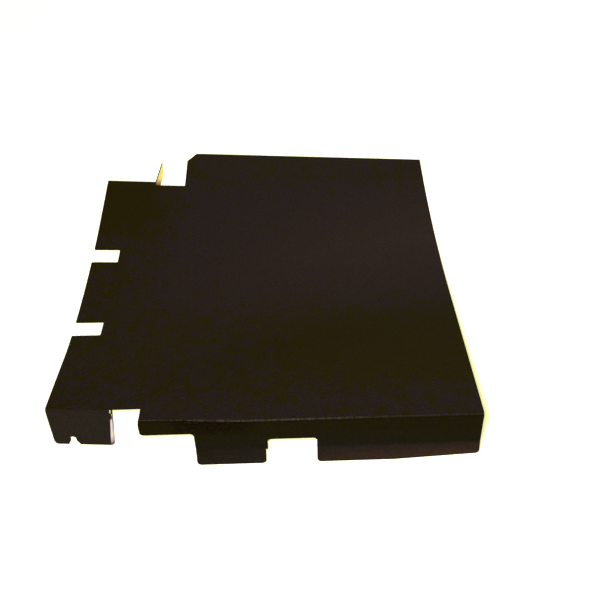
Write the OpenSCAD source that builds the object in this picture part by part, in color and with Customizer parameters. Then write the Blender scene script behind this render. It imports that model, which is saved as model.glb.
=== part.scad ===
// Server air baffle shroud: one die-cut sheet of black plastic film, folded at the
// front and at two small feet on the left, lying on a flat surface as it comes to rest.
//
// The front flange stands on its lip, the panel falls away behind it, and a soft sag
// that runs a little askew lets the right edge touch the ground while the rear left
// foot keeps the other side up. Flats, sag and folds are true planes and cylinders.
//
// X runs along the front fold, Y to the rear and Z up. Lengths are in millimetres.

/* [Sheet] */
// Thickness of the plastic sheet
sheet_t = 0.8; // [0.5:0.1:1.4]
// Inside radius of the sharp folds
fold_r = 1.2; // [0.6:0.1:2.4]

/* [Panel] */
// Width of the panel, from its left edge to its right edge
panel_w = 260; // [230:1:320]
// Depth of the panel, from the front flange to the rear edge
panel_d = 314.9; // [290:0.1:380]
// Angle at which the panel falls away behind the front fold
fall_angle = 10.6; // [9:0.1:12.5]
// Radius of the soft sag across the panel
sag_r = 632; // [540:1:760]
// Angle that the sheet turns in the sag
sag_turn = 14.35; // [13.5:0.05:16.5]
// Angle between the sag and the front fold
sag_skew = 15.75; // [12:0.25:18]

/* [Front flange] */
// Height of the front fold above the ground
flange_h = 38; // [32:0.5:46]
// Height of the lip at the foot of the flange
lip_h = 12.5; // [8:0.5:15]
// Angle that the lip is splayed outwards
lip_splay = 9; // [4:0.5:14]
// Height of the short stretch beside the notch, from the fold down
short_h = 10.8; // [8:0.1:15]
// Distance from the panel's left edge to the standing part of the flange
tab_left = 88.2; // [80:0.1:100]
// Width of the standing tab left of the gap
tab_w = 43.7; // [34:0.1:60]
// Width of the gap in the flange
gap_w = 29.6; // [20:0.1:40]
// Height of the gap above the ground
gap_h = 20.4; // [15:0.1:24]
// Rise of the lip's lower edge at its right end
lip_rise = 3; // [0:0.1:4]
// Length over which the lip's lower edge rises
lip_rise_run = 52; // [30:1:80]
// Relief at the side of the tab's lip
lip_relief = 1.3; // [0.6:0.1:2.5]

/* [Front left flap] */
// Flare of the panel's left edge towards the flap
flap_flare = 1.5; // [0:0.1:3]
// Distance behind the flange at which that flare starts
flare_y = 80; // [60:1:85]
// Width of the front left flap along its fold
flap_w = 37.4; // [33:0.1:43]
// Height of the front left flap, from its fold down
flap_h = 32.4; // [26:0.1:34]
// Distance of the flap's fold behind the flange, at the flap's right end
flap_back = 13; // [10:0.5:18]
// Angle of the flap's fold to the front fold
flap_skew = 4.8; // [2:0.1:8]
// Slant of the flap's right edge
flap_taper = 5.7; // [2:0.1:10]
// Angle that the flap's end is folded in behind it
flap_end_turn = 105; // [85:1:115]
// Drop from the flap's fold to the top of its folded end
flap_end_drop = 7; // [4:0.5:12]
// Width of the notch between the flap and the flange
notch_w = 18.9; // [15:0.1:24]
// Distance of the flap's keyhole from the flap's left edge
keyhole_x = 12.2; // [9:0.1:16]
// Radius of the keyhole's round end
keyhole_r = 1.85; // [1.2:0.05:2.6]
// Flare of each side of the keyhole at the flap's edge
keyhole_flare = 1.9; // [0.5:0.1:3]
// Depth of the keyhole
keyhole_d = 7.4; // [6:0.1:10]

/* [Rear left foot] */
// Width of the rear left foot along its fold
foot_w = 38.4; // [32:0.1:44]
// Depth of the recess beside the foot, from the rear edge forwards
recess_d = 43.4; // [36:0.1:52]
// Width of the recess, from the panel's left edge
recess_w = 62.5; // [56:0.1:74]
// Distance of the foot's outer face behind the edge of the recess
foot_back = 5.8; // [3:0.1:8]
// Angle that the foot's end is folded back
foot_end_turn = 82; // [70:1:90]
// Angle at which the foot's folded end rises towards the rear
foot_end_rise = 8.5; // [4:0.5:12]
// Width of the chamfer on the rear corner, along the rear edge
chamfer_x = 7.3; // [4:0.1:12]
// Depth of that chamfer, from the rear edge forwards
chamfer_y = 10.4; // [6:0.1:16]

/* [Side slots] */
// Width of the two slots in the left edge
slot_w = 15.1; // [10:0.1:20]
// Depth of the two slots
slot_d = 19.2; // [14:0.1:26]
// Distance of the front slot's middle behind the flange
front_slot_y = 100.2; // [80:0.1:120]
// Distance of the rear slot's middle behind the flange
rear_slot_y = 184.7; // [160:0.1:215]

/* [Corners] */
// Radius of the flange's corners
corner_r = 2.6; // [1.5:0.1:4]
// Radius of the front left flap's outer corner
flap_corner_r = 2; // [1:0.1:3.5]
// Radius of the small corners in slots, notch and recess
nick_r = 1; // [0.5:0.1:1.8]

/* [Hidden] */

$fn = 96;
// The widest circles need a finer step to keep their thin walls.
sag_fn = 720;
// Room by which a cut runs past what it cuts.
past = 5;
// Length of flat that each fold shares with the sheet beside it.
share = 6;
// Gap that the cutter leaves between two edges cut from one line.
kerf = 0.6;
// Share by which a bend's round is drawn large, so that it meets its flats in a clean line.
round_share = 1e-5;
// How far the flap's folded end swells out beside its top fold.
end_out = 1.5;
left_x = -panel_w / 2;
right_x = panel_w / 2;
fold_out = fold_r + sheet_t;

// Rotation matrices about X and Z, used to place the frames of the panel's flats.
function about_x(a) = [[1, 0, 0], [0, cos(a), -sin(a)], [0, sin(a), cos(a)]];
function about_z(a) = [[cos(a), -sin(a), 0], [sin(a), cos(a), 0], [0, 0, 1]];
// Distance from the corner of two faces to the start of a fold of that turn.
function fold_set(turn) = fold_out * tan(turn / 2);
// Turn of a fold that brings a flap upright on a flat that falls away at that angle.
function upright(fall) = 90 + fall;

// The front flat, and the skewed frame of the sag that starts on it.
fall = about_x(-fall_angle);
skewed = fall * about_z(sag_skew);
axis_e1 = skewed * [1, 0, 0];
axis_e2 = skewed * [0, 1, 0];
axis_n = skewed * [0, 0, 1];
// Angle into the sag at which the sheet runs level from front to rear.
level_turn = atan2(axis_n.y, axis_e2.y);
// Path from the start of the sag to that lowest line, on the sheet's lower face.
low_r = sag_r + sheet_t;
low_step = low_r * sin(level_turn) * axis_e2 + (sag_r - low_r * cos(level_turn)) * axis_n;
// Travel along that line to the right edge, and the start that puts it on the ground.
low_run = (right_x - low_step.x) / axis_e1.x;
low_drop = low_run * axis_e1.z + low_step.z;
sag_start = (flange_h + low_drop) / sin(fall_angle);

// The rear flat: its axes, turned back square to the panel, and where it begins.
rear_axes = skewed * about_x(sag_turn) * about_z(-sag_skew);
rear_x = rear_axes * [1, 0, 0];
rear_y = rear_axes * [0, 1, 0];
sag_rise = [0, sag_r * sin(sag_turn), sag_r * (1 - cos(sag_turn))];
rear_origin = [0, 0, flange_h] + fall * [0, sag_start, 0] + skewed * sag_rise;

// The foot's fold, found on the rear flat from its place in plan.
foot_off = [left_x, panel_d - recess_d + foot_back] - [rear_origin.x, rear_origin.y];
rear_det = rear_x.x * rear_y.y - rear_x.y * rear_y.x;
foot_place_x = (foot_off.x * rear_y.y - foot_off.y * rear_y.x) / rear_det;
foot_place_y = (rear_x.x * foot_off.y - rear_x.y * foot_off.x) / rear_det;
foot_turn = upright(asin(rear_y.z));
// Drop from the foot's fold to below the ground, where the ground then trims it.
foot_run = flange_h;
foot_end = recess_w - foot_w - kerf;
// Height of the foot's wall at its right end, from the ground to its fold.
foot_right = rear_origin + (foot_place_x + foot_w) * rear_x + foot_place_y * rear_y;
foot_low = foot_right.z - fold_set(foot_turn);

// The flange and its lip.
front_set = fold_set(upright(fall_angle));
wall_run = flange_h - front_set - lip_h;
flange_left = left_x + flap_w + notch_w;
tab_x = left_x + tab_left;
tab_end = tab_x + tab_w;
gap_end = tab_end + gap_w;
notch_y = flap_back + front_set - fold_out / 2;
flap_x = left_x + flap_w;
flap_left = left_x - flap_flare;
// Distance of the flap's fold behind the flange, at the flap's left end.
flap_left_back = flap_back + (flap_x - flap_left) * tan(flap_skew);
flap_end = notch_w - kerf;

// How far the lip reaches in front of the flange.
lip_reach = (lip_h + past) * sin(lip_splay);
lip_front = lip_h * tan(lip_splay);
// Middle of the part in plan, which is the origin's place on the ground.
middle_x = -flap_flare / 2;
middle_y = (panel_d - lip_front) / 2;

// What a rounded corner takes off a square one, or adds in an inner corner.
module corner(r, flip_x = false, flip_y = false) {
    mirror([flip_x ? 1 : 0, 0])
        mirror([0, flip_y ? 1 : 0])
            difference() {
                translate([-past, -past])
                    square(r + past);
                translate([r, r])
                    circle(r);
            }
}

// A rectangle with four round corners.
module soft_rect(x0, y0, x1, y1, r) {
    translate([x0 + r, y0])
        square([x1 - x0 - 2 * r, y1 - y0]);
    translate([x0, y0 + r])
        square([x1 - x0, y1 - y0 - 2 * r]);
    for (x = [x0 + r, x1 - r], y = [y0 + r, y1 - r])
        translate([x, y])
            circle(r);
}

// Area inside a bent face: under a flat at that radius above the origin, and under the
// same flat turned about the origin, with the corner between the two rounded.
module bent_area(turn, r, before, after, reach) {
    difference() {
        intersection() {
            translate([-reach, -reach])
                square([reach + before, reach + r]);
            rotate(turn)
                translate([-after, -reach])
                    square([after + reach, reach + r]);
        }
        difference() {
            intersection() {
                translate([-reach, -reach])
                    square([reach, 2 * reach]);
                rotate(turn)
                    translate([0, -reach])
                        square([reach, 2 * reach]);
            }
            circle(r * (1 + round_share));
        }
    }
}

// Section of a sheet bent about the origin: a flat above it to the right, the bend with
// that inside radius, which turns left, and the flat that follows.
module bend(turn, r, before, after) {
    reach = 2 * (r + before + after);
    difference() {
        bent_area(turn, r + sheet_t, before, after, reach);
        bent_area(turn, r, before + past, after + past, reach + past);
    }
}

// Section of a flat, a fold and a run beyond it. The outer faces meet at the origin.
module fold_section(turn, run) {
    translate([fold_set(turn), -fold_out])
        bend(turn, fold_r, share, run);
}

// Turns a section in Y and Z into a solid along X.
module along_x(x0, x1) {
    translate([x0, 0, 0])
        rotate([90, 0, 90])
            linear_extrude(x1 - x0)
                children();
}

// Turns an outline seen from the front into a block through the flange.
module through_front(y0, y1) {
    translate([0, y1, 0])
        rotate([90, 0, 0])
            linear_extrude(y1 - y0)
                children();
}

// Frame of the front flat: its top face is z = 0, and the flange's outer face meets it at y = 0.
module on_front_flat() {
    translate([0, 0, flange_h])
        rotate([-fall_angle, 0, 0])
            children();
}

// Frame of the sag, on the front flat: y = 0 is where the sag starts.
module on_sag() {
    on_front_flat()
        translate([0, sag_start, 0])
            rotate([0, 0, sag_skew])
                children();
}

// Frame of the rear flat, turned square to the panel again.
module on_rear_flat() {
    on_sag()
        translate([0, 0, sag_r])
            rotate([sag_turn, 0, 0])
                translate([0, 0, -sag_r])
                    rotate([0, 0, -sag_skew])
                        children();
}

// Section of the panel across the sag: flat, soft bend, flat.
module sag_section() {
    translate([0, sag_r])
        rotate(180)
            bend(sag_turn, sag_r, panel_d, panel_d, $fn = sag_fn);
}

// Outline of the panel and flange in plan, with slots, notch, recess and chamfer.
module panel_plan() {
    difference() {
        sides();
        for (y = [front_slot_y, rear_slot_y])
            side_slot(y);
        rear_corner();
        // The notch, and the strip that the flap's own flat fills.
        translate([flap_left - past, -2 * past])
            square([flange_left - flap_left + past, notch_y + 2 * past]);
        translate([flap_left - past, -2 * past])
            square([flap_x - flap_left + past, notch_y + share / 2 + 2 * past]);
    }
}

// What lies between the left and the right edge in plan. The left edge flares out
// towards the front left flap.
module sides() {
    polygon([
        [flap_left, -past],
        [right_x, -past],
        [right_x, panel_d],
        [left_x, panel_d],
        [left_x, flare_y],
        [flap_left, flap_left_back]
    ]);
}

// One slot in the left edge.
module side_slot(y) {
    soft_rect(left_x - past, y - slot_w / 2, left_x + slot_d, y + slot_w / 2, nick_r);
    for (side = [-1, 1])
        translate([left_x, y + side * slot_w / 2])
            corner(nick_r, false, side < 0);
}

// The recess beside the foot, and the chamfered corner next to it.
module rear_corner() {
    rear_line = panel_d - recess_d;
    translate([left_x - past, rear_line])
        square([recess_w + past, recess_d + past]);
    polygon([
        [left_x + recess_w - past, panel_d - chamfer_y],
        [left_x + recess_w, panel_d - chamfer_y],
        [left_x + recess_w + chamfer_x, panel_d],
        [left_x + recess_w + chamfer_x, panel_d + past],
        [left_x + recess_w - past, panel_d + past]
    ]);
}

// The sagging panel before it is cut to its plan. It starts on the flange's own flat.
module panel() {
    intersection() {
        on_sag()
            along_x(-panel_w, panel_w)
                sag_section();
        translate([-panel_w, front_set + share / 2, -past])
            cube([2 * panel_w, 2 * panel_d, flange_h + 2 * past]);
    }
}

// Section of the front flange: fold, wall and splayed lip.
module flange_section() {
    turn = upright(fall_angle);
    fold_section(turn, wall_run);
    translate([fold_set(turn), -fold_out])
        rotate(turn)
            translate([-wall_run, fold_out + fold_r])
                mirror([0, 1])
                    bend(lip_splay, fold_r, share, lip_h + past);
}

// Outline of the flange from the front: short stretch, tab, gap and long stretch.
module flange_outline() {
    short_z = flange_h - short_h;
    top_z = flange_h + past;
    difference() {
        union() {
            translate([flange_left - past, short_z])
                square([right_x - flange_left + 2 * past, top_z - short_z]);
            translate([tab_x, 0])
                square([right_x - tab_x + past, short_z + past]);
            translate([tab_x, short_z])
                corner(corner_r, true, true);
        }
        soft_rect(tab_end, -past - corner_r, gap_end, gap_h, corner_r);
        translate([tab_end - lip_relief, -past])
            square([lip_relief + past, lip_h - fold_r + past]);
        translate([flange_left, short_z])
            corner(corner_r);
        translate([tab_x, 0])
            corner(corner_r);
        translate([tab_end - lip_relief, 0])
            corner(corner_r, true);
        translate([gap_end, 0])
            corner(corner_r);
        polygon([
            [right_x - lip_rise_run, 0],
            [right_x - corner_r, lip_rise],
            [right_x + 2 * past, lip_rise],
            [right_x + 2 * past, -past],
            [right_x - lip_rise_run, -past]
        ]);
        translate([right_x, lip_rise])
            corner(corner_r, true);
    }
}

// The front flange, standing on its lip.
module front_flange() {
    intersection() {
        on_front_flat()
            along_x(flange_left - past, right_x + past)
                flange_section();
        through_front(-lip_reach - past, front_set + 2 * share)
            flange_outline();
    }
}

// Frame of a flap's outer face: the fold ends at y = 0, and the flap hangs along -y.
module on_flap(turn) {
    translate([0, fold_set(turn), -fold_out])
        rotate([turn, 0, 0])
            translate([0, 0, fold_out])
                children();
}

// Section of a flap's folded end: the flap comes from the left and turns behind itself.
module end_section(turn, run) {
    mirror([1, 0])
        fold_section(turn, run);
}

// Outline of the front left flap, from its flat down to the keyhole in its lower edge.
module flap_outline() {
    low = fold_set(upright(fall_angle)) - flap_h;
    slant = -low * tan(flap_taper);
    left = -(flap_x - flap_left) / cos(flap_skew);
    key_x = left + keyhole_x;
    key_top = low + keyhole_d;
    difference() {
        polygon([
            [left - past, fold_out + past],
            [0, fold_out + past],
            [0, -fold_r],
            [-share / 2 - fold_out, -fold_r],
            [-share / 2 - fold_out - slant, low],
            [left - past, low]
        ]);
        keyhole(key_x, key_top, low);
        translate([left, low])
            corner(flap_corner_r);
    }
}

// What the flap's folded end lacks beside the fold: a slope round its bend, and a level
// edge behind the flap.
module end_relief() {
    bend_x = end_out - fold_out;
    translate([0, 0, -flap_w])
        linear_extrude(2 * flap_w)
            polygon([
                [bend_x, past],
                [bend_x, 0],
                [end_out, -flap_end_drop],
                [end_out + past, -flap_end_drop],
                [end_out + past, past]
            ]);
    translate([-flap_w, -flap_end_drop, -fold_out - flap_w])
        cube([flap_w + end_out + past, flap_end_drop + past, flap_w]);
}

// A round-ended keyhole that flares to the flap's edge.
module keyhole(x, top, low) {
    translate([x, top - keyhole_r])
        circle(keyhole_r);
    translate([x - keyhole_r, low - past])
        square([2 * keyhole_r, top - keyhole_r - low + past]);
    polygon([
        [x - keyhole_r, low + 2 * keyhole_r],
        [x + keyhole_r, low + 2 * keyhole_r],
        [x + keyhole_r + keyhole_flare, low],
        [x + keyhole_r + keyhole_flare, low - past],
        [x - keyhole_r - keyhole_flare, low - past],
        [x - keyhole_r - keyhole_flare, low]
    ]);
}

// The front left flap: its fold, its wall and the end that is folded in behind it.
module front_flap() {
    turn = upright(fall_angle);
    low = flap_h - fold_set(turn);
    intersection() {
        on_front_flat()
            translate([flap_x, flap_back, 0])
                rotate([0, 0, -flap_skew]) {
                    intersection() {
                        along_x(-flap_w - flap_flare - past, share)
                            fold_section(turn, flap_h + past);
                        on_flap(turn)
                            translate([0, 0, -2 * share])
                                linear_extrude(3 * share)
                                    flap_outline();
                    }
                    on_flap(turn)
                        intersection() {
                            rotate([0, 0, -flap_taper])
                                difference() {
                                    translate([end_out, -kerf, 0])
                                        rotate([90, 0, 0])
                                            linear_extrude(flap_h + past)
                                                end_section(flap_end_turn, flap_end);
                                    end_relief();
                                }
                            translate([-panel_w, -low, -panel_w])
                                cube([2 * panel_w, low, 2 * panel_w]);
                        }
                }
        translate([0, 0, -past])
            linear_extrude(flange_h + 2 * past)
                sides();
    }
}

// The rear left foot: its fold, its wall and the end that is folded back behind it.
module rear_foot() {
    intersection() {
        on_rear_flat()
            translate([foot_place_x, foot_place_y, 0])
                mirror([0, 1, 0]) {
                    along_x(-past, foot_w)
                        fold_section(foot_turn, foot_run);
                    translate([foot_w, 0, 0])
                        on_flap(foot_turn)
                            intersection() {
                                translate([0, foot_low, 0])
                                    rotate([90, 0, 0])
                                        linear_extrude(foot_low + foot_run)
                                            mirror([0, 1])
                                                translate([0, sheet_t])
                                                    end_section(foot_end_turn, foot_end);
                                translate([0, -kerf, 0])
                                    rotate([-foot_end_rise, 0, 0])
                                        translate([-foot_end, -foot_low, -foot_end])
                                            cube([2 * foot_end, foot_low, 3 * foot_end]);
                            }
                }
        translate([left_x, 0, 0])
            cube([panel_w, 2 * panel_d, flange_h]);
    }
}

// The whole sheet.
module baffle_sheet() {
    color("#28221a")
        translate([-middle_x, -middle_y, 0]) {
            intersection() {
                union() {
                    panel();
                    front_flange();
                }
                translate([0, 0, -past])
                    linear_extrude(flange_h + 2 * past)
                        panel_plan();
            }
            front_flap();
            rear_foot();
        }
}

baffle_sheet();
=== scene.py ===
import math

import bmesh
import bpy
from mathutils import Matrix, Vector

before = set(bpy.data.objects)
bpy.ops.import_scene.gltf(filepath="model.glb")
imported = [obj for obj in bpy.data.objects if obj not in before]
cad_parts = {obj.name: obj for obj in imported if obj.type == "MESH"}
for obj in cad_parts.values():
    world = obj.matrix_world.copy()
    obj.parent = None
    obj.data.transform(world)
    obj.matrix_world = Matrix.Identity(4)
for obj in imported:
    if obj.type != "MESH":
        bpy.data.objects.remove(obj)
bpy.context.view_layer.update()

bl_info = {
    "name": "Server air baffle shroud",
    "version": (1, 0, 0),
    "blender": (4, 5, 0),
    "location": "3D View > Sidebar > Air baffle",
    "description": "Finishes a folded air baffle sheet and sets up its studio",
    "category": "Object",
}

MM = 0.001

# Directions on the sheet as it lies: to the right, to the rear and up. Then across the
# sag, back along the front flat, and square to the ends of the flap and of the foot.
X = (1, 0, 0)
Y = (0, 1, 0)
Z = (0, 0, 1)
ACROSS_SAG = (-0.27, 0.96, 0)
ALONG_FLAT = (0, 0.983, -0.184)
FLAP_END = (1, 0, -0.134)
FOOT_END = (0.9874, -0.1435, -0.067)

# The painted line, where the painted shade in front of the front fold ends and the fold's
# painted highlight runs, lies this far along the front flat, in millimetres, and strays behind
# the fold by up to so much towards the left.
FOLD_LINE_AT = -160.0
STRAY = 2.4 * MM

# Two sides of zones that are used more than once. A side is a direction, then where
# along it the share starts to rise and where it is full, in millimetres.
TOP_OF_FOLD = (Z, 36.5, 36.9)
OUTER_FACE = (Y, -156.2, -156.5)

# The stage, in metres. The key lamp's place is in the camera's own directions, just left
# of the lens and in front of it. The sheen lamp stands behind the sheet.
FLOOR_GAP = 0.02 * MM
FLOOR_SIDES = 96
KEY_PLACE = Vector((-0.02, 0, -0.08))
SHEEN_PLACE = Vector((0.3, 1.4, 1.2))
SHEEN_SIZE = 1.0

# What all colour settings have in common.
COLOUR = {"subtype": "COLOR", "size": 3, "min": 0, "max": 1}


def linear(hex_colour):
    """An sRGB hex colour as linear red, green and blue."""
    values = [int(hex_colour[i : i + 2], 16) / 255 for i in (1, 3, 5)]
    return tuple(
        v / 12.92 if v <= 0.04045 else ((v + 0.055) / 1.055) ** 2.4 for v in values
    )


class FilmSettings(bpy.types.PropertyGroup):
    """Colours and sizes of the black film's surface."""

    # Besides its random flecks, at the rear this colour also stands for painted sheen.
    warm_black: bpy.props.FloatVectorProperty(
        name="Warm black",
        description="The film's colour in its warmer flecks",
        default=linear("#241d1b"),
        **COLOUR,
    )
    olive_black: bpy.props.FloatVectorProperty(
        name="Olive black",
        description="The film's colour in its greener flecks",
        default=linear("#231d00"),
        **COLOUR,
    )
    # Painted shade: the flange in front of the fold, and the deeper patches of the face.
    flange_black: bpy.props.FloatVectorProperty(
        name="Flange black",
        description="Colour of the film in front of the front fold, and in its deeper patches",
        default=linear("#181400"),
        **COLOUR,
    )
    dull_black: bpy.props.FloatVectorProperty(
        name="Dull black",
        description="Colour of the film towards the foot of the flange",
        default=linear("#191611"),
        **COLOUR,
    )
    # Painted sheen on the lip and the flap, in patches.
    sheen_patch_black: bpy.props.FloatVectorProperty(
        name="Rubbed black",
        description="Colour of the film where hands have rubbed it",
        default=linear("#272119"),
        **COLOUR,
    )
    # Painted sheen: the warm, paler colour of the front lip's right end and of the stripe along
    # the sag.
    sheen_warm: bpy.props.FloatVectorProperty(
        name="Rubbed warm",
        description="Colour of the front lip's right end, and of the paler stripe along the sag",
        default=linear("#3b2a1f"),
        **COLOUR,
    )
    nick_brown: bpy.props.FloatVectorProperty(
        name="Nick brown",
        description="Colour of the nicks under the front fold, and of the dark grain",
        default=linear("#080200"),
        **COLOUR,
    )
    # Partly whitening and partly a painted highlight along the front fold; on the flap's end a
    # painted reflection of the lit floor.
    whitening_and_highlight: bpy.props.FloatVectorProperty(
        name="Stress white",
        description="Colour of the film where a sharp fold has stretched it",
        default=linear("#e2cdc0"),
        **COLOUR,
    )
    # Painted reflection of the shaded floor on the flap's end.
    reflection_mauve: bpy.props.FloatVectorProperty(
        name="Stress mauve",
        description="Colour of the film where a fold has stretched it a little",
        default=linear("#9a767c"),
        **COLOUR,
    )
    # Painted reflection of the lit floor on the foot's end.
    sheen_yellow: bpy.props.FloatVectorProperty(
        name="Sheen yellow",
        description="Colour of the glossy inner face of the foot's end, seen along it",
        default=linear("#ffe878"),
        **COLOUR,
    )
    # Painted reflection of the shaded floor on the foot's end.
    sheen_brown: bpy.props.FloatVectorProperty(
        name="Sheen brown",
        description="Colour of that face where the foot shades the floor beside it",
        default=linear("#8c5630"),
        **COLOUR,
    )
    gloss_tint: bpy.props.FloatVectorProperty(
        name="Gloss tint",
        description="Tint of the faint gloss that the matt face keeps",
        default=linear("#ffe6b8"),
        **COLOUR,
    )
    grain: bpy.props.FloatProperty(
        name="Grain",
        description="Width of one grain of the embossed face",
        unit="LENGTH",
        min=0.0001,
        max=0.01,
        default=0.7 * MM,
    )
    dark_grain: bpy.props.FloatProperty(
        name="Dark grain",
        description="Width of one dark grain of colour",
        unit="LENGTH",
        min=0.0001,
        max=0.01,
        default=1.0 * MM,
    )
    nick: bpy.props.FloatProperty(
        name="Nick",
        description="Width of one nick under the front fold",
        unit="LENGTH",
        min=0.0001,
        max=0.01,
        default=1.1 * MM,
    )
    dash: bpy.props.FloatProperty(
        name="Dash",
        description="Length of one dash of the pale line along the front fold",
        unit="LENGTH",
        min=0.0001,
        max=0.01,
        default=1.6 * MM,
    )
    mottle: bpy.props.FloatProperty(
        name="Mottle",
        description="Width of one fleck of colour",
        unit="LENGTH",
        min=0.0005,
        max=0.05,
        default=2.2 * MM,
    )
    rub: bpy.props.FloatProperty(
        name="Rub",
        description="Width of one rubbed patch on the lip and the flap",
        unit="LENGTH",
        min=0.0005,
        max=0.05,
        default=6.0 * MM,
    )
    patch: bpy.props.FloatProperty(
        name="Patch",
        description="Width of one wider patch of colour",
        unit="LENGTH",
        min=0.001,
        max=0.1,
        default=9.0 * MM,
    )
    roughness: bpy.props.FloatProperty(
        name="Roughness",
        description="Roughness of the matt face",
        subtype="FACTOR",
        min=0,
        max=1,
        default=0.46,
    )


class StudioSettings(bpy.types.PropertyGroup):
    """Floor, lamps and camera."""

    floor_colour: bpy.props.FloatVectorProperty(
        name="Floor",
        description="Colour of the floor",
        default=linear("#ebebff"),
        **COLOUR,
    )
    shade_colour: bpy.props.FloatVectorProperty(
        name="Shade",
        description="Colour that the floor keeps in the object's shade",
        default=linear("#dfdf7e"),
        **COLOUR,
    )
    floor_size: bpy.props.FloatProperty(
        name="Floor size",
        description="Width of the round floor",
        unit="LENGTH",
        min=1,
        max=50,
        default=8,
    )
    key_power: bpy.props.FloatProperty(
        name="Key lamp",
        description="Power of the lamp beside the camera",
        unit="POWER",
        min=0,
        max=500,
        default=13.0,
    )
    key_size: bpy.props.FloatProperty(
        name="Key lamp size",
        description="Width of the lamp beside the camera",
        unit="LENGTH",
        min=0.01,
        max=2,
        default=0.04,
    )
    sheen_power: bpy.props.FloatProperty(
        name="Sheen lamp",
        description="Power of the wide soft lamp behind, which the sag reflects",
        unit="POWER",
        min=0,
        max=500,
        default=10,
    )
    room_light: bpy.props.FloatProperty(
        name="Room light",
        description="Strength of the even light from all round",
        min=0,
        max=2,
        default=0.06,
    )
    lens: bpy.props.FloatProperty(
        name="Lens",
        description="Focal length of the camera's lens",
        subtype="DISTANCE_CAMERA",
        min=10,
        max=300,
        default=56.2,
    )


def add_node(tree, kind, inputs=None, **settings):
    """Adds a node with its settings, and sets or links each named or numbered input."""
    new = tree.nodes.new(kind)
    for name, value in settings.items():
        setattr(new, name, value)
    for key, value in (inputs or {}).items():
        socket = new.inputs[key]
        if isinstance(value, bpy.types.NodeSocket):
            tree.links.new(value, socket)
        elif socket.type == "RGBA":
            socket.default_value = (*value, 1)
        else:
            socket.default_value = value
    return new


def new_material(name):
    """A material with an empty node tree and its output."""
    material = bpy.data.materials.new(name)
    material.use_nodes = True
    tree = material.node_tree
    tree.nodes.clear()
    return material, tree, add_node(tree, "ShaderNodeOutputMaterial")


def product(tree, first, *others):
    """Shares multiplied together, so that all of them have to hold."""
    for other in others:
        first = add_node(
            tree, "ShaderNodeMath", {0: first, 1: other}, operation="MULTIPLY"
        ).outputs[0]
    return first


def any_of(tree, first, *others):
    """The largest of some shares, so that any one of them will do."""
    for other in others:
        first = add_node(
            tree, "ShaderNodeMath", {0: first, 1: other}, operation="MAXIMUM"
        ).outputs[0]
    return first


def weighed(tree, start, *parts):
    """A starting value with each share added to it by its weight."""
    for share, weight in parts:
        start = add_node(
            tree,
            "ShaderNodeMath",
            {0: share, 1: weight, 2: start},
            operation="MULTIPLY_ADD",
        ).outputs[0]
    return start


def zone(tree, place, *sides):
    """A share that is full where all of its sides are, and fades out across each one."""
    shares = []
    for direction, start, full in sides:
        reach = add_node(
            tree,
            "ShaderNodeVectorMath",
            {0: place, 1: direction},
            operation="DOT_PRODUCT",
        ).outputs["Value"]
        rise = add_node(
            tree,
            "ShaderNodeMapRange",
            {"Value": reach, "From Min": start * MM, "From Max": full * MM},
        )
        shares.append(rise.outputs[0])
    return product(tree, *shares)


def stripe(direction, middle, half_width):
    """The two sides of a stripe that is full along its middle and fades out beside it."""
    return (
        (direction, middle - half_width, middle),
        (direction, middle + half_width, middle),
    )


def flecks(tree, place, width, low, high):
    """Cloudy noise with patches of one width, cut off below low and full at high."""
    noise = add_node(
        tree,
        "ShaderNodeTexNoise",
        {"Vector": place, "Scale": 1 / width, "Detail": 3.0, "Roughness": 0.6},
    ).outputs[0]
    return add_node(
        tree,
        "ShaderNodeMapRange",
        {"Value": noise, "From Min": low, "From Max": high},
    ).outputs[0]


def coats(tree, colour, *layers):
    """Lays coats over a first colour, one after another, each where its share is high."""
    for share, over in layers:
        colour = add_node(
            tree, "ShaderNodeMix", {0: share, 6: colour, 7: over}, data_type="RGBA"
        ).outputs[2]
    return colour


def face_colour(tree, place, settings):
    """The matt face, in flecks and wider patches of two blacks, with painted sheen and shade."""
    # The flecks of the two blacks differ at random. The zones lean the face to the warm black at
    # the rear, as a painted sheen where the sheen lamp's gloss would show. They lean it to the
    # olive one, as the film without that sheen, at the rear left corner and, right of the
    # middle, in a band across the start of the sag. A weight above 0 leans a zone to the warm
    # black, and one below 0 to the olive.
    rear = zone(tree, place, (X, -105, -45), (Y, -50, 0))
    band = zone(tree, place, (X, -15, 60), *stripe(Y, -82, 50))
    corner = zone(tree, place, (X, -60, -100), (Y, 45, 75))
    tint = weighed(
        tree,
        -0.37,
        (flecks(tree, place, settings.mottle, 0.3, 0.7), 1.0),
        (flecks(tree, place, settings.patch, 0.3, 0.7), 0.6),
        (rear, 0.36),
        (band, -0.65),
        (corner, -0.45),
        (zone(tree, place, (Y, 105, 130)), -0.3),
        (zone(tree, place, (Y, -120, -145)), 0.13),
    )
    warm = add_node(
        tree,
        "ShaderNodeMapRange",
        {"Value": tint, "From Min": 0.38, "From Max": 0.52},
        interpolation_type="SMOOTHSTEP",
    ).outputs[0]

    # Painted sheen makes it a shade paler where the sag turns up to the light at the rear right.
    # Painted shade makes it deeper where the sag starts and at the corner.
    paler = zone(tree, place, (X, -90, 130), *stripe(ACROSS_SAG, 18, 85))
    start = zone(tree, place, (X, -75, -20), *stripe(ACROSS_SAG, -85, 45))
    deeper = weighed(tree, 0.0, (start, 0.25), (corner, 0.25))
    return coats(
        tree,
        settings.olive_black,
        (warm, settings.warm_black),
        (product(tree, paler, 0.5), settings.sheen_warm),
        (deeper, settings.flange_black),
    )


def beside_line(tree, place):
    """Places moved forward by as much as the painted line strays behind the fold."""
    stray = product(tree, zone(tree, place, (X, -13, -73)), -STRAY)
    forward = add_node(tree, "ShaderNodeCombineXYZ", {"Y": stray}).outputs[0]
    return add_node(
        tree, "ShaderNodeVectorMath", {0: place, 1: forward}, operation="ADD"
    ).outputs[0]


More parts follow.
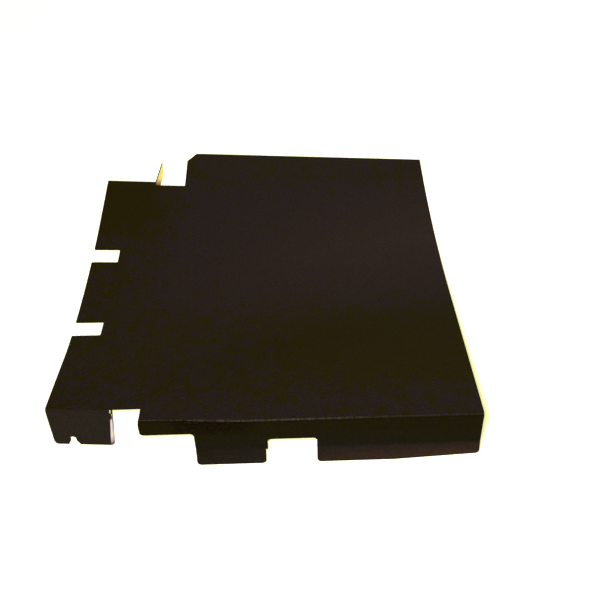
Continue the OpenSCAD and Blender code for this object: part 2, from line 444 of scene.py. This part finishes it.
def flange_coats(tree, place, by_line, settings):
    """In front of the painted line: painted shade in a deeper and more even olive, and some
    nicks.
    """
    # The flange and a thin strip of the fold behind it are painted a deeper olive: painted
    # shade, where the film gets none of the sheen that the flat gets.
    front = any_of(
        tree,
        zone(tree, place, (Y, -155.9, -156.3)),
        zone(tree, by_line, TOP_OF_FOLD, (ALONG_FLAT, FOLD_LINE_AT, FOLD_LINE_AT - 0.6)),
    )
    cloudy = product(tree, flecks(tree, place, settings.mottle, 0.5, 0.6), 0.6)
    flange = coats(tree, settings.flange_black, (cloudy, settings.dull_black))

    # The nicks are dark and lie just under the fold, left of the middle.
    nicks = product(
        tree,
        front,
        flecks(tree, place, settings.nick, 0.44, 0.52),
        zone(tree, place, (Z, 23, 31), (X, -56, -48), (X, 0, -14)),
    )
    return (front, flange), (nicks, settings.nick_brown)


def lower_front_coats(tree, place, settings):
    """Where the flange is greyer towards its foot, and where the lip and the flap get painted
    sheen.
    """
    # The flange is duller towards its foot, most of all right of the middle.
    dull = product(
        tree,
        zone(tree, place, (Z, 27, 13), OUTER_FACE),
        weighed(
            tree,
            0.4,
            (zone(tree, place, (X, -70, 20)), 0.4),
            (zone(tree, place, (X, 60, 110)), -0.4),
        ),
    )

    # Painted sheen makes the lip paler down to its edge and to the right, and the flap below the
    # crease that it hangs from, which stays as a thin dark line. Noise breaks both into patches.
    lip_start = 13.5
    lip_bend = 11
    lip_edge = 3
    lip = product(
        tree,
        weighed(
            tree,
            0.0,
            (zone(tree, place, (Z, lip_start, lip_bend)), 0.5),
            (zone(tree, place, (Z, lip_bend, lip_edge)), 0.4),
        ),
        zone(tree, place, OUTER_FACE),
        weighed(tree, 0.6, (zone(tree, place, (X, -30, 40)), 0.4)),
    )
    flap = zone(tree, place, (Z, 34.7, 34.4), (Y, -138.4, -138.9), (X, -90, -91))
    sheen_patches = product(
        tree,
        any_of(tree, lip, flap),
        flecks(tree, place, settings.rub, 0.1, 0.5),
    )
    # Painted sheen makes the lip's right end warmer and paler still.
    right_end = zone(tree, place, (Z, lip_start, lip_edge), OUTER_FACE, (X, 0, 120))
    return (
        (dull, settings.dull_black),
        (sheen_patches, settings.sheen_patch_black),
        (right_end, settings.sheen_warm),
    )


def pale_fold_coats(tree, place, by_line, settings):
    """Pale marks at the folds: partly whitening, partly a painted highlight along the front
    fold, and a painted reflection on the flap's end.
    """
    # The painted line is paler in dashes, which grow fainter to the right: partly whitening of
    # the film, partly a painted highlight along the fold.
    drawn_out = add_node(
        tree,
        "ShaderNodeMapping",
        {"Vector": place, "Scale": (1, 0.05, 0.05)},
    ).outputs[0]
    line = product(
        tree,
        zone(tree, by_line, TOP_OF_FOLD, *stripe(ALONG_FLAT, FOLD_LINE_AT, 0.7)),
        flecks(tree, drawn_out, settings.dash, 0.38, 0.75),
        weighed(tree, 0.3, (zone(tree, place, (X, 80, 20)), 0.7)),
        0.085,
    )

    # The flap's end is bent the sharpest. A painted reflection of the lit floor makes it white
    # right round the bend, then mauve where it mirrors the shade low down, and it is dark again
    # towards the flap's lower corner.
    flap_end = zone(
        tree,
        place,
        (FLAP_END, -96.0, -95.5),
        (X, -88, -89),
        (Y, -138.0, -138.5),
        (Z, 27.3, 26.3),
    )
    mauve = product(tree, flap_end, zone(tree, place, (Z, 0.5, 9)))
    white = product(tree, flap_end, zone(tree, place, (Z, 5, 11.5)))
    return (
        (line, settings.whitening_and_highlight),
        (mauve, settings.reflection_mauve),
        (white, settings.whitening_and_highlight),
    )


def film_colour(tree, place, settings):
    """Black film, with painted shade and sheen in front, dark grain, and pale at its sharp
    folds, partly from painted highlight and reflection.
    """
    by_line = beside_line(tree, place)
    # The dark grain breaks up the face all over. It is finer on the real film, and is
    # drawn just wide enough to show.
    dark_grain = flecks(tree, place, settings.dark_grain, 0.35, 0.65)
    return coats(
        tree,
        face_colour(tree, place, settings),
        *flange_coats(tree, place, by_line, settings),
        *lower_front_coats(tree, place, settings),
        (product(tree, dark_grain, 0.45), settings.nick_brown),
        *pale_fold_coats(tree, place, by_line, settings),
    )


def foot_sheen(tree, place, settings):
    """Where the inner face of the foot's end gets its painted reflection, and in what colour."""
    # Seen nearly along its length, that face gets a painted reflection: it shows the lit floor
    # in a pale yellow, and in brown low down, where the foot shades the floor.
    facing = add_node(tree, "ShaderNodeLayerWeight", {"Blend": 0.5}).outputs["Facing"]
    glancing = add_node(
        tree,
        "ShaderNodeMapRange",
        {"Value": facing, "From Min": 0.70, "From Max": 0.75},
    ).outputs[0]
    inner_face = zone(
        tree,
        place,
        (FOOT_END, -108.45, -108.2),
        (X, -80, -81),
        (Y, 121.0, 122.5),
        (Z, 17, 16.5),
    )
    rear_and_up = (0, 0.76, 1)
    pale = zone(tree, place, (rear_and_up, 104, 110.5))
    sheen = coats(tree, settings.sheen_brown, (pale, settings.sheen_yellow))
    return product(tree, glancing, inner_face), sheen


def matt_film(settings):
    """Extruded polypropylene film, black, with a matt embossed face."""
    material, tree, output = new_material("black_polypropylene_film_matt_extruded")
    place = add_node(tree, "ShaderNodeTexCoord").outputs["Object"]

    # The gloss is uneven where the matt face is pressed more or less deeply.
    uneven = flecks(tree, place, settings.mottle, 0.3, 0.7)
    rough = weighed(tree, settings.roughness - 0.05, (uneven, 0.1))

    # The embossed grain is finer than this on the real film, and is drawn just wide
    # enough to show.
    grain = flecks(tree, place, settings.grain, 0.0, 1.0)
    bump = add_node(
        tree,
        "ShaderNodeBump",
        {"Height": grain, "Strength": 0.6, "Distance": 0.05 * MM},
    ).outputs[0]

    # The embossed face scatters nearly all of the film's gloss, so it looks a plain deep black.
    # The painted reflection at the foot also glows a little, as the lit floor that it stands for
    # does.
    shining, sheen = foot_sheen(tree, place, settings)
    shader = add_node(
        tree,
        "ShaderNodeBsdfPrincipled",
        {
            "Base Color": coats(
                tree, film_colour(tree, place, settings), (shining, sheen)
            ),
            "Emission Color": sheen,
            "Emission Strength": product(tree, shining, 0.4),
            "Roughness": rough,
            "IOR": 1.49,
            "Specular IOR Level": 0.01,
            "Specular Tint": settings.gloss_tint,
            "Normal": bump,
        },
    )
    tree.links.new(shader.outputs[0], output.inputs["Surface"])
    return material


class BAFFLE_OT_finish_sheet(bpy.types.Operator):
    """Give the folded sheet its film surface"""

    bl_idname = "baffle.finish_sheet"
    bl_label = "Finish the baffle sheet"

    def execute(self, context):
        film = matt_film(context.scene.baffle_film)
        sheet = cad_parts["baffle_sheet"]
        for material_slot in sheet.material_slots:
            material_slot.material = film
        return {"FINISHED"}


def seen_rays(tree):
    """1 for rays that show the backdrop, straight on, mirrored or through glass."""
    rays = add_node(tree, "ShaderNodeLightPath").outputs
    return any_of(
        tree, rays["Is Camera Ray"], rays["Is Glossy Ray"], rays["Is Transmission Ray"]
    )


def floor_paint(settings):
    """Matt white paper, rolled smooth, lit until it is plain white to the eye."""
    material, tree, output = new_material("white_paper_matt_rolled")
    paper = add_node(
        tree,
        "ShaderNodeBsdfPrincipled",
        {
            "Base Color": settings.floor_colour,
            "Roughness": 0.9,
            "Specular IOR Level": 0.1,
        },
    )
    # The glow is seen but lights nothing. It keeps the sheet's shade on the paper pale.
    glow = add_node(
        tree,
        "ShaderNodeEmission",
        {"Color": settings.shade_colour, "Strength": seen_rays(tree)},
    )
    both = add_node(
        tree, "ShaderNodeAddShader", {0: paper.outputs[0], 1: glow.outputs[0]}
    )
    tree.links.new(both.outputs[0], output.inputs["Surface"])
    return material


def lay_floor(context, settings):
    """Lays a round floor just under the sheet."""
    shape = bmesh.new()
    bmesh.ops.create_circle(
        shape, cap_ends=True, segments=FLOOR_SIDES, radius=settings.floor_size / 2
    )
    bmesh.ops.translate(shape, verts=shape.verts, vec=(0, 0, -FLOOR_GAP))
    mesh = bpy.data.meshes.new("floor")
    shape.to_mesh(mesh)
    shape.free()
    mesh.materials.append(floor_paint(settings))
    floor = bpy.data.objects.new("floor", mesh)
    context.scene.collection.objects.link(floor)


def light_room(context, settings):
    """Even light from all round, which the camera sees as a plain white backdrop."""
    world = bpy.data.worlds.new("plain_room")
    context.scene.world = world
    world.use_nodes = True
    tree = world.node_tree
    tree.nodes.clear()
    strength = add_node(
        tree,
        "ShaderNodeMapRange",
        {"Value": seen_rays(tree), "To Min": settings.room_light, "To Max": 1.0},
    ).outputs[0]
    light = add_node(
        tree, "ShaderNodeBackground", {"Color": (1, 1, 1), "Strength": strength}
    )
    output = add_node(tree, "ShaderNodeOutputWorld")
    tree.links.new(light.outputs[0], output.inputs["Surface"])


def square_lamp(context, name, place, size, power):
    """A square area lamp that faces the middle of the ground under the sheet."""
    data = bpy.data.lights.new(name, "AREA")
    data.shape = "SQUARE"
    data.size = size
    data.energy = power
    lamp = bpy.data.objects.new(name, data)
    lamp.location = place
    lamp.rotation_euler = (-place).to_track_quat("-Z", "Y").to_euler()
    context.scene.collection.objects.link(lamp)
    return lamp


def even_out(data):
    """Keeps a lamp's light as strong far off as near by, as if it stood far away."""
    data.use_nodes = True
    tree = data.node_tree
    even = add_node(tree, "ShaderNodeLightFalloff", {"Strength": 1.0})
    tree.links.new(even.outputs["Constant"], tree.nodes["Emission"].inputs["Strength"])


def camera_stand():
    """Where the camera stands, and how far it is turned, tipped down and rolled."""
    place = Vector((25.229, -513.163, 460.373)) * MM
    turned = 0.00150
    tipped = 0.74313
    rolled = -0.03158
    return (
        Matrix.Translation(place)
        @ Matrix.Rotation(turned, 4, "Z")
        @ Matrix.Rotation(math.pi / 2 - tipped, 4, "X")
        @ Matrix.Rotation(rolled, 4, "Z")
    )


def set_camera(context, settings, stand):
    """Sets the scene's camera on its stand."""
    data = bpy.data.cameras.new("camera")
    data.sensor_width = 36
    data.lens = settings.lens
    camera = bpy.data.objects.new("camera", data)
    camera.matrix_world = stand
    context.scene.collection.objects.link(camera)
    context.scene.camera = camera


class BAFFLE_OT_build_stage(bpy.types.Operator):
    """Lay the floor and set the lamps and the camera"""

    bl_idname = "baffle.build_stage"
    bl_label = "Build the stage"

    def execute(self, context):
        settings = context.scene.baffle_studio
        stand = camera_stand()
        lay_floor(context, settings)
        light_room(context, settings)
        key = square_lamp(
            context, "key_lamp", stand @ KEY_PLACE, settings.key_size, settings.key_power
        )
        key.visible_camera = False
        even_out(key.data)
        square_lamp(context, "sheen_lamp", SHEEN_PLACE, SHEEN_SIZE, settings.sheen_power)
        set_camera(context, settings, stand)
        return {"FINISHED"}


class BAFFLE_PT_panel(bpy.types.Panel):
    """Lists the steps that finish the baffle and its stage."""

    bl_label = "Air baffle"
    bl_idname = "BAFFLE_PT_panel"
    bl_space_type = "VIEW_3D"
    bl_region_type = "UI"
    bl_category = "Air baffle"

    def draw(self, context):
        layout = self.layout
        for step, group in (
            (BAFFLE_OT_finish_sheet, context.scene.baffle_film),
            (BAFFLE_OT_build_stage, context.scene.baffle_studio),
        ):
            box = layout.box()
            for name in group.__annotations__:
                box.prop(group, name)
            box.operator(step.bl_idname)


CLASSES = (
    FilmSettings,
    StudioSettings,
    BAFFLE_OT_finish_sheet,
    BAFFLE_OT_build_stage,
    BAFFLE_PT_panel,
)


def register():
    for item in CLASSES:
        bpy.utils.register_class(item)
    bpy.types.Scene.baffle_film = bpy.props.PointerProperty(type=FilmSettings)
    bpy.types.Scene.baffle_studio = bpy.props.PointerProperty(type=StudioSettings)


def unregister():
    del bpy.types.Scene.baffle_studio
    del bpy.types.Scene.baffle_film
    for item in reversed(CLASSES):
        bpy.utils.unregister_class(item)


def main():
    """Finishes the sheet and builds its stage."""
    register()
    bpy.context.scene.view_settings.view_transform = "Standard"
    bpy.ops.baffle.finish_sheet()
    bpy.ops.baffle.build_stage()


if __name__ == "__main__":
    main()
